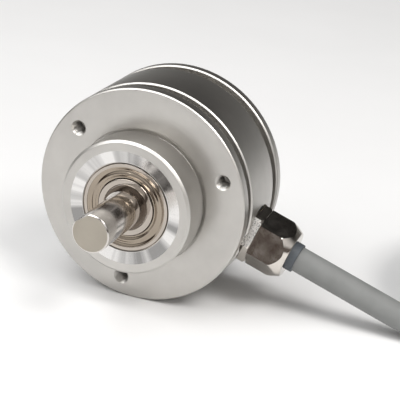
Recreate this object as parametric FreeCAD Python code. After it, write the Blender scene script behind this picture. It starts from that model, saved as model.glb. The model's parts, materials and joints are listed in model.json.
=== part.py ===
import FreeCAD, Part
import math
import os

# Solid-shaft rotary encoder with a clamping flange and a radial cable gland.
# Millimetres. The shaft axis is Y: the shaft points to -Y and the housing to +Y, +Z is up.
# The origin is the centre of the flange's mounting face. The encoder lies on its rims, so
# the surface under it is at z = -flange_d / 2.

Vector = FreeCAD.Vector
os.makedirs("parts", exist_ok=True)

# ---- driving dimensions -------------------------------------------------------------------
# outside of the housing
flange_d = 58.0            # flange, housing and rear cover
case_depth = 28.5          # mounting face to the rear face
pilot_d = 36.0             # centring collar
pilot_len = 10.0
pilot_relief_len = 1.0     # undercut at the collar's foot
pilot_relief_depth = 0.6
pilot_relief_out = 0.4     # and in the mounting face round it
pilot_relief_sink = 0.2
pilot_chamfer = 0.7
pilot_face_w = 2.1         # flat ring between the two chamfers
clamp_rim_len = 3.0        # rim in front of the clamping groove
clamp_groove_len = 3.0
rear_groove_len = 3.4
rear_rim_len = 2.9
groove_depth = 2.5         # both grooves' floors are also what the housing sits on
spigot_engage = 1.9        # how far each spigot reaches into the housing
spigot_wall = 2.5
o_ring_w = 0.9
o_ring_h = 0.8
o_ring_chamfer = 0.2
housing_wall = 3.5
edge_chamfer = 0.4

# mounting holes
mount_pcd = 48.0
mount_count = 3
mount_hole_r = 1.65        # M4, modelled at the thread's core
mount_hole_depth = 6.0
mount_mouth_r = 2.1        # countersink at the mouth
mount_from_gland_deg = 39.4

# shaft
shaft_d = 10.0
shaft_len = 20.0           # beyond the collar's face
shaft_chamfer = 0.3
flat_depth = 0.7
flat_len = 18.4
flat_deg = 125.0           # direction that the flat faces, from +X towards +Z
shaft_step_in = 0.6        # where it grows to the journal, behind the bearing's face
journal_d = 12.0
journal_chamfer = 0.2
journal_past_clip = 0.6
shoulder_h = 1.2           # collar between the two bearings, above the journals
stub_d = 8.0               # rear end, under the disc hub
stub_len = 6.2

# ball bearings 12 x 24 x 6
bearing_d = 24.0
bearing_w = 6.0
bearing_recess = 0.6       # front bearing behind the collar's face
ball_d = 3.175
ball_count = 11
ball_first_deg = 80.0
race_depth = 0.19          # how deep each ball sits in each ring
race_play = 0.03           # raceway to ball
ring_chamfer = 0.2
cage_t = 1.4
cage_past_ball = 0.5
shield_t = 0.35
shield_sink = 0.15         # behind the ring's face
shield_seat = 0.4
bearing_web_len = 4.2      # shoulder in the flange between the bearings
bearing_web_lip = 1.1
spring_len = 1.4
spring_t = 0.35
spring_gap = 0.1           # to the bearing's seat
hub_wall = 2.0
hub_past_bearing = 1.2
circlip_w = 0.8
circlip_h = 1.6
circlip_sink = 0.4         # groove in the journal
circlip_opening = 2.4
circlip_deg = 250.0

# code disc and its hub
disc_r = 17.5
disc_t = 0.6
disc_track_r = 15.8
disc_hub_wall = 2.0
hub_seat_r = 9.0
hub_seat_t = 0.8
hub_gap = 0.6              # hub to the shaft's journal
disc_from_hub_end = 3.2
clamp_ring_t = 0.8
disc_gap = 0.3             # disc to the lamp and to the mask
clamp_ring_inset = 0.4
set_screw_r = 1.2
lamp_r = 1.3
lamp_floor = 0.5           # holder's wall under the lamp
lamp_holder_side = 8.0
lamp_holder_past = 4.0     # outward from the disc's track
lamp_holder_inner = 2.0    # inward from the disc's track
holder_to_disc = 1.0
mask_size = (5.0, 7.0)     # radial, sideways
mask_t = 0.6
sensor_size = (6.0, 8.0)

# circuit board
board_gap = 0.8            # behind the shaft's end
board_t = 1.6
board_r = 24.4
standoff_count = 4
standoff_pcd = 40.0
standoff_r = 2.25
standoff_from_gland_deg = 45.0
board_screw_r = 1.25
board_screw_bite = 3.4
board_screw_head = 1.5
board_screw_slot = (0.6, 0.7)   # wide, deep
screw_end_gap = 0.2        # screw tip to the bottom of its hole
connector_out = 11.0       # centre of the connector, from the shaft axis
connector_size = (6.0, 10.0, 4.2)   # radial, sideways, high
connector_wall = 0.8
connector_back = 1.2
wire_r = 0.5
wire_pitch = 1.3
wire_to_boss = 1.4         # where the wires turn, inside the gland's boss
wire_to_board = 0.7
driver_out = 8.0
driver_size = (5.0, 10.0, 1.5)
capacitor_out = 14.0
capacitor_r = 2.5
capacitor_h = 4.0
capacitor_turn_deg = 70.0  # each side of the sensor
cover_screw_r = 1.5
cover_screw_count = 3
cover_screw_pcd = 42.6
cover_screw_from_gland_deg = 90.0
cover_screw_bite = 3.6     # thread in the flange
cover_screw_socket = (2.0, 1.2)     # across flats, deep
cover_screw_face = 0.5     # straight part below the head's rim

# cable gland
gland_down_deg = 18.5      # its axis points to +X and this far down
gland_flats = 14.0         # across flats, body and nut
gland_thread_r = 6.0
gland_seat_depth = 1.8     # spot face, below the flange's radius
gland_thread_len = 5.2     # below the spot face
gland_gasket_t = 0.5
gland_hex_len = 2.8
gland_hex_chamfer = 0.5
gland_nut_len = 9.9
gland_nut_gap = 0.15       # body's hexagon to the nut's
gland_nut_end_r = 6.4      # turned end of the nut
gland_nut_lip = 1.2        # inward lip that presses the seal
gland_neck_len = 5.0       # thread that the nut screws onto
gland_neck_wall = 0.75
gland_body_turn = 34.0     # how the two hexagons stand about the gland's axis
gland_nut_turn = 45.0
gland_boss_len = 4.0
gland_boss_wall = 2.0
seal_t = 1.35
seal_from_hex = 1.5
seal_lip_t = 0.5           # the part that shows in the nut's mouth
seal_past_nut = 2.0
seal_chamfer = 0.3
cable_d = 7.0
cable_len = 1000.0         # whole cable, end sleeve to the board end of the jacket
bore_gap = 0.1             # cable to the gland's bore
jacket_in_gland = 0.6      # jacket's end, inside the gland's inner end

# fits
slip = 0.05                # radial gap of located and threaded parts
small_gap = 0.2            # between turning and fixed parts

# coil of the spare cable
coil_mid_d = 70.0          # across the middle of its turns, which lie in two columns
coil_centre_x = 105.0
coil_start_deg = 268.0     # where the lead joins the outer column
# how far round the cable has wound when it leaves each column: two turns on the surface,
# two on top of them, and the rest on the outer column of the third layer
coil_windings = (("outer", 315.0), ("inner", 645.0), ("inner", 967.5), ("outer", 1290.0))
coil_full_layers = 2
sleeve_len = 16.0          # shrunk over the jacket's end
sleeve_t = 0.3
core_count = 8
core_r = 0.6
core_gap = 0.1
core_len = 38.0            # the shortest
core_len_step = 3.0        # each next length
ferrule_len = 8.0
ferrule_r = 0.5

# ---- sizes that follow --------------------------------------------------------------------
flange_r = flange_d / 2
spigot_r = flange_r - groove_depth
floor_z = -flange_r
housing_y0 = clamp_rim_len + clamp_groove_len
cover_y0 = case_depth - rear_rim_len
housing_y1 = cover_y0 - rear_groove_len
flange_back_y = housing_y0 + spigot_engage
cover_front_y = housing_y1 - spigot_engage
housing_inner_r = flange_r - housing_wall
spigot_inner_r = spigot_r - spigot_wall
gland_y = (housing_y0 + housing_y1) / 2

bearing_r = bearing_d / 2
journal_r = journal_d / 2
pitch_r = (bearing_r + journal_r) / 2
ball_r = ball_d / 2
inner_land_r = pitch_r - ball_r + race_depth
outer_land_r = pitch_r + ball_r - race_depth
front_bearing_y = -pilot_len + bearing_recess
web_y0 = front_bearing_y + bearing_w
web_y1 = web_y0 + bearing_web_len
rear_bearing_y = web_y1 + spring_len
rear_bearing_end = rear_bearing_y + bearing_w
flange_hub_end = rear_bearing_end + hub_past_bearing
flange_hub_r = bearing_r + hub_wall

journal_end = rear_bearing_end + circlip_w + journal_past_clip
circlip_r = journal_r - circlip_sink
stub_r = stub_d / 2
stub_end = journal_end + stub_len
hub_y0 = journal_end + hub_gap
disc_y0 = hub_y0 + disc_from_hub_end
disc_y1 = disc_y0 + disc_t
mask_y1 = disc_y1 + disc_gap + mask_t
lamp_y0 = flange_hub_end + small_gap + lamp_floor
hub_sleeve_r = stub_r + disc_hub_wall
hub_y1 = disc_y1 + clamp_ring_t
board_y0 = max(stub_end, hub_y1) + board_gap
board_y1 = board_y0 + board_t

cable_r = cable_d / 2
gland_seat = flange_r - gland_seat_depth
gland_corner_r = gland_flats / 2 / math.cos(math.pi / 6)
gland_hex_s0 = gland_seat + gland_gasket_t
gland_hex_s1 = gland_hex_s0 + gland_hex_len
gland_nut_s0 = gland_hex_s1 + gland_nut_gap
gland_nut_s1 = gland_nut_s0 + gland_nut_len
gland_inner_s = gland_seat - gland_thread_len
jacket_s0 = gland_inner_s + jacket_in_gland
gland_bore_r = cable_r + bore_gap
seal_r = cable_r + seal_t
seal_s0 = gland_hex_s1 + seal_from_hex
seal_s1 = gland_nut_s1 + seal_past_nut
gland_neck_r = seal_r + gland_neck_wall
gland_neck_s1 = gland_hex_s1 + gland_neck_len
boss_s0 = housing_inner_r - gland_boss_len
wire_turn_s = boss_s0 - wire_to_boss
board_cut_s = wire_turn_s - wire_pitch - wire_r - wire_to_board
sensor_deg = 180.0 - gland_down_deg

lead_z = floor_z + cable_r
coil_r = coil_mid_d / 2
coil_centre = Vector(coil_centre_x, gland_y + coil_r + cable_r, 0)
sleeve_r = cable_r + sleeve_t
sleeve_mid_r = coil_r + cable_r + sleeve_t
end_bed_z = floor_z + coil_full_layers * cable_d   # what the cable's end lies on


# ---- helpers ------------------------------------------------------------------------------
def face_of(points):
    return Part.Face(Part.makePolygon([Vector(*p) for p in points + points[:1]]))


def turned(profile):
    """A solid of revolution about Y from (radius, y) points."""
    face = face_of([(r, y, 0) for r, y in profile])
    return face.revolve(Vector(0, 0, 0), Vector(0, 1, 0), 360)


def gland_turned(profile):
    """A solid of revolution about the gland's axis from (radius, distance out) points."""
    face = face_of([(r, 0, s) for r, s in profile])
    return on_gland(face.revolve(Vector(0, 0, 0), Vector(0, 0, 1), 360))


def on_gland(shape):
    """Moves a shape made along local Z onto the gland's axis."""
    moved = shape.copy()
    turn = FreeCAD.Rotation(Vector(0, 1, 0), 90 + gland_down_deg)
    moved.Placement = FreeCAD.Placement(Vector(0, gland_y, 0), turn).multiply(moved.Placement)
    return moved


def gland_bar(r, s0, s1):
    return on_gland(Part.makeCylinder(r, s1 - s0, Vector(0, 0, s0)))


def gland_point(out, y, side=0.0):
    """A point at a distance out along the gland's direction, at y, and so far sideways."""
    a = math.radians(gland_down_deg)
    return Vector(out * math.cos(a) + side * math.sin(a), y, -out * math.sin(a) + side * math.cos(a))


def rod(r, y0, y1, x=0.0, z=0.0):
    return Part.makeCylinder(r, y1 - y0, Vector(x, y0, z), Vector(0, 1, 0))


def pipe(r_out, r_in, y0, y1, x=0.0, z=0.0):
    return rod(r_out, y0, y1, x, z).cut(rod(r_in, y0, y1, x, z))


def block(radial, tangential, y0, y1, radius, deg):
    """A box centred at a radius and angle about the shaft axis."""
    box = Part.makeBox(radial, y1 - y0, tangential, Vector(radius - radial / 2, y0, -tangential / 2))
    box.rotate(Vector(0, 0, 0), Vector(0, 1, 0), -deg)
    return box


def around(count, radius, first_deg):
    """Centres (x, z) evenly spaced on a circle about the shaft axis."""
    angles = [math.radians(first_deg + 360.0 * k / count) for k in range(count)]
    return [(radius * math.cos(a), radius * math.sin(a)) for a in angles]


def hexagon(across_flats, s0, s1, turn_deg):
    corner = across_flats / 2 / math.cos(math.pi / 6)
    points = []
    for k in range(6):
        a = math.radians(turn_deg + 60 * k)
        points.append((corner * math.cos(a), corner * math.sin(a), s0))
    return face_of(points).extrude(Vector(0, 0, s1 - s0))


def route_path(points):
    """Straight runs joined by tangent arcs, each as large as its shorter run allows."""
    edges, radii, length, start = [], [], 0.0, points[0]
    for before, corner, after in zip(points, points[1:], points[2:]):
        run_in, run_out = corner - before, after - corner
        shorter = min(run_in.Length, run_out.Length)
        turn = run_in.getAngle(run_out)
        trim = 0.45 * shorter
        radius = trim / math.tan(turn / 2)
        a = corner - run_in.normalize() * trim
        b = corner + run_out.normalize() * trim
        inward = ((a - corner) + (b - corner)).normalize()
        middle = corner + inward * (radius / math.cos(turn / 2) - radius)
        edges.append(Part.LineSegment(start, a).toShape())
        edges.append(Part.Arc(a, middle, b).toShape())
        length += (a - start).Length + radius * turn
        radii.append(radius)
        start = b
    edges.append(Part.LineSegment(start, points[-1]).toShape())
    length += (points[-1] - start).Length
    return Part.Wire(edges), radii, length


def swept_round(points, r):
    """A round tube along a route, with its bend radii and its length."""
    path, radii, length = route_path(points)
    heading = points[1] - points[0]
    section = Part.Wire([Part.makeCircle(r, points[0], heading)])
    return path.makePipeShell([section], True, False), radii, length


# ---- flange, housing and cover ------------------------------------------------------------
def make_flange():
    c = edge_chamfer
    pilot_r = pilot_d / 2
    groove_a, groove_b = ring_groove(housing_y0)
    body = turned([
        (bearing_r, front_bearing_y), (bearing_r + ring_chamfer, front_bearing_y),
        (pilot_r - pilot_chamfer - pilot_face_w, -pilot_len), (pilot_r - pilot_chamfer, -pilot_len),
        (pilot_r, -pilot_len + pilot_chamfer),
        (pilot_r, -pilot_relief_len), (pilot_r - pilot_relief_depth, -pilot_relief_len),
        (pilot_r - pilot_relief_depth, pilot_relief_sink),
        (pilot_r + pilot_relief_out, pilot_relief_sink), (pilot_r + pilot_relief_out, 0),
        (flange_r - c, 0), (flange_r, c),
        (flange_r, clamp_rim_len), (spigot_r, clamp_rim_len),
        (spigot_r, groove_a), (spigot_r - o_ring_h, groove_a),
        (spigot_r - o_ring_h, groove_b), (spigot_r, groove_b), (spigot_r, flange_back_y),
        (flange_hub_r, flange_back_y), (flange_hub_r, flange_hub_end),
        (bearing_r, flange_hub_end), (bearing_r, web_y1),
        (bearing_r - bearing_web_lip, web_y1), (bearing_r - bearing_web_lip, web_y0),
        (bearing_r, web_y0)])
    for x, z in around(mount_count, mount_pcd / 2, mount_from_gland_deg - gland_down_deg):
        body = body.cut(rod(mount_hole_r, 0, mount_hole_depth, x, z))
        mouth_len = mount_mouth_r - mount_hole_r
        mouth = Part.makeCone(mount_mouth_r, mount_hole_r, mouth_len, Vector(x, 0, z), Vector(0, 1, 0))
        body = body.cut(mouth)
    for x, z in standoff_places():
        hole_y0 = flange_back_y - board_screw_bite - screw_end_gap
        body = body.cut(rod(board_screw_r + slip, hole_y0, flange_back_y, x, z))
    for x, z in cover_screw_places():
        body = body.cut(rod(cover_screw_r + slip, flange_back_y - cover_screw_bite, flange_back_y, x, z))
    return body


def ring_groove(lip_y, forward=1):
    """Start and end of the seal groove, midway along the spigot inside the housing."""
    middle = lip_y + forward * spigot_engage / 2
    return middle - o_ring_w / 2, middle + o_ring_w / 2


def make_o_ring(lip_y, forward):
    a, b = ring_groove(lip_y, forward)
    r0, r1, c = spigot_r - o_ring_h, spigot_r + slip, o_ring_chamfer
    return turned([(r0, a + c), (r0 + c, a), (r1 - c, a), (r1, a + c),
                   (r1, b - c), (r1 - c, b), (r0 + c, b), (r0, b - c)])


def make_housing():
    c = edge_chamfer
    lip_r = spigot_r + slip
    shell = turned([
        (lip_r, housing_y0), (flange_r - c, housing_y0), (flange_r, housing_y0 + c),
        (flange_r, housing_y1 - c), (flange_r - c, housing_y1), (lip_r, housing_y1),
        (lip_r, cover_front_y), (housing_inner_r, cover_front_y),
        (housing_inner_r, flange_back_y), (lip_r, flange_back_y)])
    boss = gland_bar(gland_thread_r + gland_boss_wall, boss_s0, housing_inner_r + housing_wall / 2)
    slab = rod(flange_r, flange_back_y + small_gap, cover_front_y - small_gap)
    shell = shell.fuse(boss.common(slab)).removeSplitter()
    shell = shell.cut(gland_bar(gland_thread_r, boss_s0, flange_d))
    return shell.cut(gland_bar(gland_corner_r + small_gap, gland_seat, flange_d))


def make_rear_cover():
    c = edge_chamfer
    groove_a, groove_b = ring_groove(housing_y1, -1)
    body = turned([
        (0, cover_y0), (spigot_inner_r, cover_y0), (spigot_inner_r, cover_front_y),
        (spigot_r, cover_front_y), (spigot_r, groove_a), (spigot_r - o_ring_h, groove_a),
        (spigot_r - o_ring_h, groove_b), (spigot_r, groove_b), (spigot_r, cover_y0),
        (flange_r - c, cover_y0), (flange_r, cover_y0 + c),
        (flange_r, case_depth - c), (flange_r - c, case_depth), (0, case_depth)])
    for x, z in cover_screw_places():
        body = body.cut(rod(cover_screw_r + small_gap, cover_y0, case_depth, x, z))
        body = body.cut(countersink(x, z, small_gap))
    return body


def cover_screw_places():
    return around(cover_screw_count, cover_screw_pcd / 2, cover_screw_from_gland_deg - gland_down_deg)


def countersink(x, z, gap=0.0):
    """The cone of a countersunk head, flush with the rear face."""
    head_r = 2 * cover_screw_r - 0.2
    depth = head_r - cover_screw_r
    return Part.makeCone(cover_screw_r + gap, head_r + gap, depth,
                         Vector(x, case_depth - depth, z), Vector(0, 1, 0))


def make_cover_screws():
    screws = []
    for x, z in cover_screw_places():
        tip = flange_back_y - cover_screw_bite + screw_end_gap
        screw = rod(cover_screw_r, tip, case_depth - cover_screw_face, x, z).fuse(countersink(x, z))
        flats, depth = cover_screw_socket
        socket = hexagon(flats, 0, depth, 0)
        socket.rotate(Vector(0, 0, 0), Vector(1, 0, 0), -90)
        socket.translate(Vector(x, case_depth - depth, z))
        screws.append(screw.cut(socket).removeSplitter())
    return Part.makeCompound(screws)


# ---- shaft and bearings -------------------------------------------------------------------
def make_shaft():
    r, c = shaft_d / 2, shaft_chamfer
    tip = -pilot_len - shaft_len
    step, shoulder_r = front_bearing_y + shaft_step_in, journal_r + shoulder_h
    clip_a, clip_b = rear_bearing_end, rear_bearing_end + circlip_w
    shaft = turned([
        (0, tip), (r - c, tip), (r, tip + c), (r, tip + flat_len), (r, step),
        (journal_r - journal_chamfer, step),
        (journal_r, step + journal_chamfer), (journal_r, web_y0), (shoulder_r, web_y0),
        (shoulder_r, rear_bearing_y), (journal_r, rear_bearing_y),
        (journal_r, clip_a), (circlip_r, clip_a), (circlip_r, clip_b), (journal_r, clip_b),
        (journal_r, journal_end), (stub_r, journal_end), (stub_r, stub_end - c),
        (stub_r - c, stub_end), (0, stub_end)])
    flat = Part.makeBox(shaft_d, flat_len, shaft_d, Vector(r - flat_depth, tip, -r))
    flat.rotate(Vector(0, 0, 0), Vector(0, 1, 0), -flat_deg)
    return shaft.cut(flat)


def raceway(y):
    return Part.makeTorus(pitch_r, ball_r + race_play, Vector(0, y + bearing_w / 2, 0), Vector(0, 1, 0))


def make_inner_ring(y):
    r0, r1, c, w = journal_r, inner_land_r, ring_chamfer, bearing_w
    ring = turned([(r0, y + c), (r0 + c, y), (r1 - c, y), (r1, y + c),
                   (r1, y + w - c), (r1 - c, y + w), (r0 + c, y + w), (r0, y + w - c)])
    return ring.cut(raceway(y))


def make_outer_ring(y):
    r0, r1, c, w = outer_land_r, bearing_r, ring_chamfer, bearing_w
    s = shield_sink + shield_t
    seat = r0 + shield_seat
    ring = turned([(seat, y), (r1 - c, y), (r1, y + c), (r1, y + w - c), (r1 - c, y + w),
                   (seat, y + w), (seat, y + w - s), (r0, y + w - s), (r0, y + s), (seat, y + s)])
    return ring.cut(raceway(y))


def make_shields(y):
    """Two stepped washers held in the outer ring, clear of the inner ring."""
    outer = outer_land_r + shield_seat
    inner = inner_land_r + small_gap
    step_r = (outer + inner) / 2
    t, back = shield_t / 2, shield_sink + shield_t
    half = [(outer, shield_sink), (outer, back), (inner, back), (inner, back - t),
            (step_r, back - t), (step_r + t, shield_sink)]
    front = turned([(r, y + d) for r, d in half])
    rear = turned([(r, y + bearing_w - d) for r, d in half])
    return Part.makeCompound([front, rear])


def ball_centres(y):
    return [Vector(x, y + bearing_w / 2, z) for x, z in around(ball_count, pitch_r, ball_first_deg)]


def make_balls(y):
    return Part.makeCompound([Part.makeSphere(ball_r, centre) for centre in ball_centres(y)])


def make_cage(y):
    half = ball_r + cage_past_ball
    middle = y + bearing_w / 2
    cage = pipe(pitch_r + cage_t / 2, pitch_r - cage_t / 2, middle - half, middle + half)
    for centre in ball_centres(y):
        outward = Vector(centre.x, 0, centre.z).normalize()
        start = centre - outward * cage_t
        cage = cage.cut(Part.makeCylinder(ball_r + race_play, 2 * cage_t, start, outward))
    return cage


def make_preload_spring():
    """A conical spring washer between the flange's web and the rear bearing."""
    outer = bearing_r - spring_gap
    inner = bearing_r - bearing_web_lip + spring_gap
    return turned([(inner, web_y1), (inner + spring_t, web_y1), (outer, rear_bearing_y),
                   (outer - spring_t, rear_bearing_y)])


def make_circlip():
    a, b = rear_bearing_end, rear_bearing_end + circlip_w
    ring = pipe(circlip_r + circlip_h, circlip_r, a, b)
    return ring.cut(block(2 * circlip_r, circlip_opening, a, b, 1.5 * circlip_r, circlip_deg))


# ---- code disc and optics -----------------------------------------------------------------
def make_disc_hub():
    hub = turned([
        (stub_r, hub_y0), (hub_sleeve_r, hub_y0), (hub_sleeve_r, disc_y0 - hub_seat_t),
        (hub_seat_r, disc_y0 - hub_seat_t), (hub_seat_r, disc_y0), (hub_sleeve_r, disc_y0),
        (hub_sleeve_r, hub_y1), (stub_r, hub_y1)])
    return hub.cut(set_screw_bar(stub_r / 2, hub_sleeve_r + stub_r / 2, set_screw_r + slip))


def set_screw_bar(r0, r1, r):
    y = (hub_y0 + disc_y0 - hub_seat_t) / 2
    return Part.makeCylinder(r, r1 - r0, Vector(0, y, r0), Vector(0, 0, 1))


def make_set_screw():
    return set_screw_bar(stub_r, hub_sleeve_r, set_screw_r)


def make_code_disc():
    return pipe(disc_r, hub_sleeve_r + slip, disc_y0, disc_y1)


def make_clamp_ring():
    return pipe(hub_seat_r - clamp_ring_inset, hub_sleeve_r + slip, disc_y1, hub_y1)


def lamp_centre():
    return around(1, disc_track_r, sensor_deg)[0]


def sensor_block(radial, side, y0, y1):
    """A box on the sensor's side, centred on the disc's track."""
    return block(radial, side, y0, y1, disc_track_r, sensor_deg)


def make_lamp_holder():
    """A foot on the flange's back, beside its hub, and an arm under the disc's track."""
    foot_in = flange_hub_r + small_gap
    arm_in, outer = disc_track_r - lamp_holder_inner, disc_track_r + lamp_holder_past
    top = disc_y0 - holder_to_disc
    foot = block(outer - foot_in, lamp_holder_side, flange_back_y, top, (outer + foot_in) / 2, sensor_deg)
    arm = block(outer - arm_in, lamp_holder_side, flange_hub_end + small_gap, top,
                (outer + arm_in) / 2, sensor_deg)
    x, z = lamp_centre()
    return foot.fuse(arm).removeSplitter().cut(rod(lamp_r + slip, lamp_y0, disc_y0, x, z))


def make_lamp():
    x, z = lamp_centre()
    dome_y = disc_y0 - disc_gap - lamp_r
    dome = Part.makeSphere(lamp_r, Vector(x, dome_y, z))
    return rod(lamp_r, lamp_y0, dome_y, x, z).fuse(dome).removeSplitter()


def make_mask():
    radial, side = mask_size
    return sensor_block(radial, side, disc_y1 + disc_gap, mask_y1)


def make_sensor_chip():
    radial, side = sensor_size
    return sensor_block(radial, side, mask_y1, board_y0)


# ---- circuit board ------------------------------------------------------------------------
def standoff_places():
    return around(standoff_count, standoff_pcd / 2, standoff_from_gland_deg - gland_down_deg)


def make_board():
    board = rod(board_r, board_y0, board_y1)
    board = board.cut(block(board_r, 2 * board_r, board_y0, board_y1, board_cut_s + board_r / 2,
                            -gland_down_deg))
    for x, z in standoff_places():
        board = board.cut(rod(board_screw_r + small_gap, board_y0, board_y1, x, z))
    for x, z in cover_screw_places():
        board = board.cut(rod(cover_screw_r + small_gap, board_y0, board_y1, x, z))
    return board


def make_standoffs():
    posts = []
    for x, z in standoff_places():
        post = rod(standoff_r, flange_back_y, board_y0, x, z)
        stud = rod(board_screw_r, flange_back_y - board_screw_bite, flange_back_y, x, z)
        hole = rod(board_screw_r + slip, board_y0 - board_screw_bite - screw_end_gap, board_y0, x, z)
        posts.append(post.fuse(stud).removeSplitter().cut(hole))
    return Part.makeCompound(posts)


def make_board_screws():
    screws = []
    for x, z in standoff_places():
        top, (wide, deep) = board_y1 + board_screw_head, board_screw_slot
        screw = rod(board_screw_r, board_y0 - board_screw_bite, board_y1, x, z)
        head = rod(standoff_r, board_y1, top, x, z)
        slot = Part.makeBox(2 * standoff_r, deep, wide, Vector(x - standoff_r, top - deep, z - wide / 2))
        screws.append(screw.fuse(head).cut(slot).removeSplitter())
    return Part.makeCompound(screws)


def make_connector():
    """A socket that opens towards the gland."""
    radial, side, high = connector_size
    wall, y0, y1 = connector_wall, board_y1, board_y1 + high
    shell = block(radial, side, y0, y1, connector_out, -gland_down_deg)
    pocket = block(radial, side - 2 * wall, y0 + wall, y1 - wall, connector_out + connector_back,
                   -gland_down_deg)
    return shell.cut(pocket)


def make_driver_chip():
    radial, side, high = driver_size
    return block(radial, side, board_y1, board_y1 + high, driver_out, sensor_deg)


def make_capacitors():
    cans = []
    for turn in (-capacitor_turn_deg, capacitor_turn_deg):
        x, z = around(1, capacitor_out, sensor_deg + turn)[0]
        cans.append(rod(capacitor_r, board_y1, board_y1 + capacitor_h, x, z))
    return Part.makeCompound(cans)


# ---- cable gland --------------------------------------------------------------------------
def make_gland_gasket():
    outer = (gland_flats / 2 + gland_corner_r) / 2
    return gland_turned([(gland_thread_r, gland_seat), (outer, gland_seat),
                         (outer, gland_hex_s0), (gland_thread_r, gland_hex_s0)])


def make_gland_body():
    thread, c, base = gland_thread_r - slip, gland_hex_chamfer, gland_hex_s0 + gland_hex_len / 4
    core = gland_turned([
        (gland_bore_r, gland_inner_s), (thread - c, gland_inner_s), (thread, gland_inner_s + c),
        (thread, base), (gland_neck_r, base), (gland_neck_r, gland_neck_s1),
        (seal_r + slip, gland_neck_s1), (seal_r + slip, seal_s0), (gland_bore_r, seal_s0)])
    hexagonal = hexagon(gland_flats, gland_hex_s0, gland_hex_s1, gland_body_turn)
    cone_base_r = gland_corner_r + 4 * c
    cone = Part.makeCone(cone_base_r, gland_corner_r - c, gland_hex_len, Vector(0, 0, gland_hex_s0))
    bore = Part.makeCylinder((gland_neck_r + gland_bore_r) / 2, gland_hex_len, Vector(0, 0, gland_hex_s0))
    return core.fuse(on_gland(hexagonal.common(cone).cut(bore))).removeSplitter()


def make_gland_nut():
    """A hexagon whose outer end is turned down to a cone, with a stepped bore."""
    cone_len = 2 * (gland_corner_r - gland_nut_end_r)
    cone_s0 = gland_nut_s1 - cone_len
    full = Part.makeCylinder(gland_corner_r, cone_s0 - gland_nut_s0, Vector(0, 0, gland_nut_s0))
    cone = Part.makeCone(gland_corner_r, gland_nut_end_r, cone_len, Vector(0, 0, cone_s0))
    nut = hexagon(gland_flats, gland_nut_s0, gland_nut_s1, gland_nut_turn).common(full.fuse(cone))
    lip_s0 = gland_nut_s1 - gland_nut_lip
    for r, s0, s1 in ((gland_neck_r + slip, gland_nut_s0, gland_neck_s1 + small_gap),
                      (seal_r + slip, gland_neck_s1, lip_s0),
                      (cable_r + seal_lip_t + slip, gland_neck_s1, gland_nut_s1)):
        nut = nut.cut(Part.makeCylinder(r, s1 - s0, Vector(0, 0, s0)))
    return on_gland(nut)


def make_gland_seal():
    lip, lip_s0, c = cable_r + seal_lip_t, gland_nut_s1 - gland_nut_lip, seal_chamfer
    return gland_turned([(cable_r, seal_s0), (seal_r, seal_s0), (seal_r, lip_s0), (lip, lip_s0),
                         (lip, seal_s1 - c), (lip - c, seal_s1), (cable_r, seal_s1)])


# ---- cable --------------------------------------------------------------------------------
def make_cable_in_gland():
    return gland_turned([(0, jacket_s0), (cable_r, jacket_s0), (cable_r, seal_s1), (0, seal_s1)])


def make_inner_wires():
    """The cores, from the jacket's end in the gland to the connector behind the board."""
    wires, per_layer = [], core_count // 2
    plug_y = board_y1 + connector_size[2] / 2
    plug_s = connector_out - connector_size[0] / 2 + connector_back
    for k in range(core_count):
        layer = k // per_layer
        side = (k % per_layer - (per_layer - 1) / 2) * wire_pitch
        lift = (0.5 - layer) * wire_pitch
        turn_s = wire_turn_s - layer * wire_pitch
        route = [gland_point(jacket_s0, gland_y + lift, side), gland_point(turn_s, gland_y + lift, side),
                 gland_point(turn_s, plug_y + lift, side), gland_point(plug_s, plug_y + lift, side)]
        wires.append(swept_round(route, wire_r)[0])
    return Part.makeCompound(wires)


def column_r(side):
    """Mid radius of the coil's outer or inner column."""
    return coil_r + cable_r if side == "outer" else coil_r - cable_r


def lead_route():
    """The straight reach out of the gland, then along the surface to the coil."""
    start = gland_point(seal_s1, gland_y)
    touch = gland_point(-lead_z / math.sin(math.radians(gland_down_deg)), gland_y)
    a = math.radians(coil_start_deg)
    join = coil_centre + Vector(math.cos(a), math.sin(a), 0) * column_r("outer") + Vector(0, 0, lead_z)
    return [start, touch, join]


def coil_end_deg():
    """How far round it has wound where the cable's length is used up."""
    _, _, lead_length = route_path(lead_route())
    left, wound = cable_len - lead_length - (seal_s1 - jacket_s0), 0.0
    for side, until in coil_windings:
        left -= math.radians(until - wound) * column_r(side)
        wound = until
    return wound + math.degrees(left / column_r("outer"))


def make_coil():
    """The turns' outer shape: full layers on the surface, and the last part turn on them."""
    r_out, r_in, r_mid = coil_r + cable_d, coil_r - cable_d, coil_r
    top_z = floor_z + coil_full_layers * cable_d
    stack = pipe_up(r_out, r_in, floor_z, top_z)
    face = face_of([(r_mid, 0, top_z), (r_out, 0, top_z),
                    (r_out, 0, top_z + cable_d), (r_mid, 0, top_z + cable_d)])
    begin = coil_windings[-1][1]
    last = face.revolve(Vector(0, 0, 0), Vector(0, 0, 1), coil_end_deg() - begin)
    last.rotate(Vector(0, 0, 0), Vector(0, 0, 1), coil_start_deg + begin)
    coil = stack.fuse(last).removeSplitter()
    coil.translate(coil_centre)
    return coil


def pipe_up(r_out, r_in, z0, z1):
    outer, inner = [Part.makeCylinder(r, z1 - z0, Vector(0, 0, z0)) for r in (r_out, r_in)]
    return outer.cut(inner)


def arc_tube(r_mid, z, start_deg, length, r):
    """A round bar bent about the coil's centre."""
    ring = Part.makeTorus(r_mid, r, Vector(0, 0, 0), Vector(0, 0, 1), -180, 180,
                          math.degrees(length / r_mid))
    ring.rotate(Vector(0, 0, 0), Vector(0, 0, 1), start_deg)
    ring.translate(coil_centre + Vector(0, 0, z))
    return ring


def make_end_sleeve():
    start = coil_start_deg + coil_end_deg()
    return arc_tube(sleeve_mid_r, end_bed_z + sleeve_r, start, sleeve_len, sleeve_r)


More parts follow.
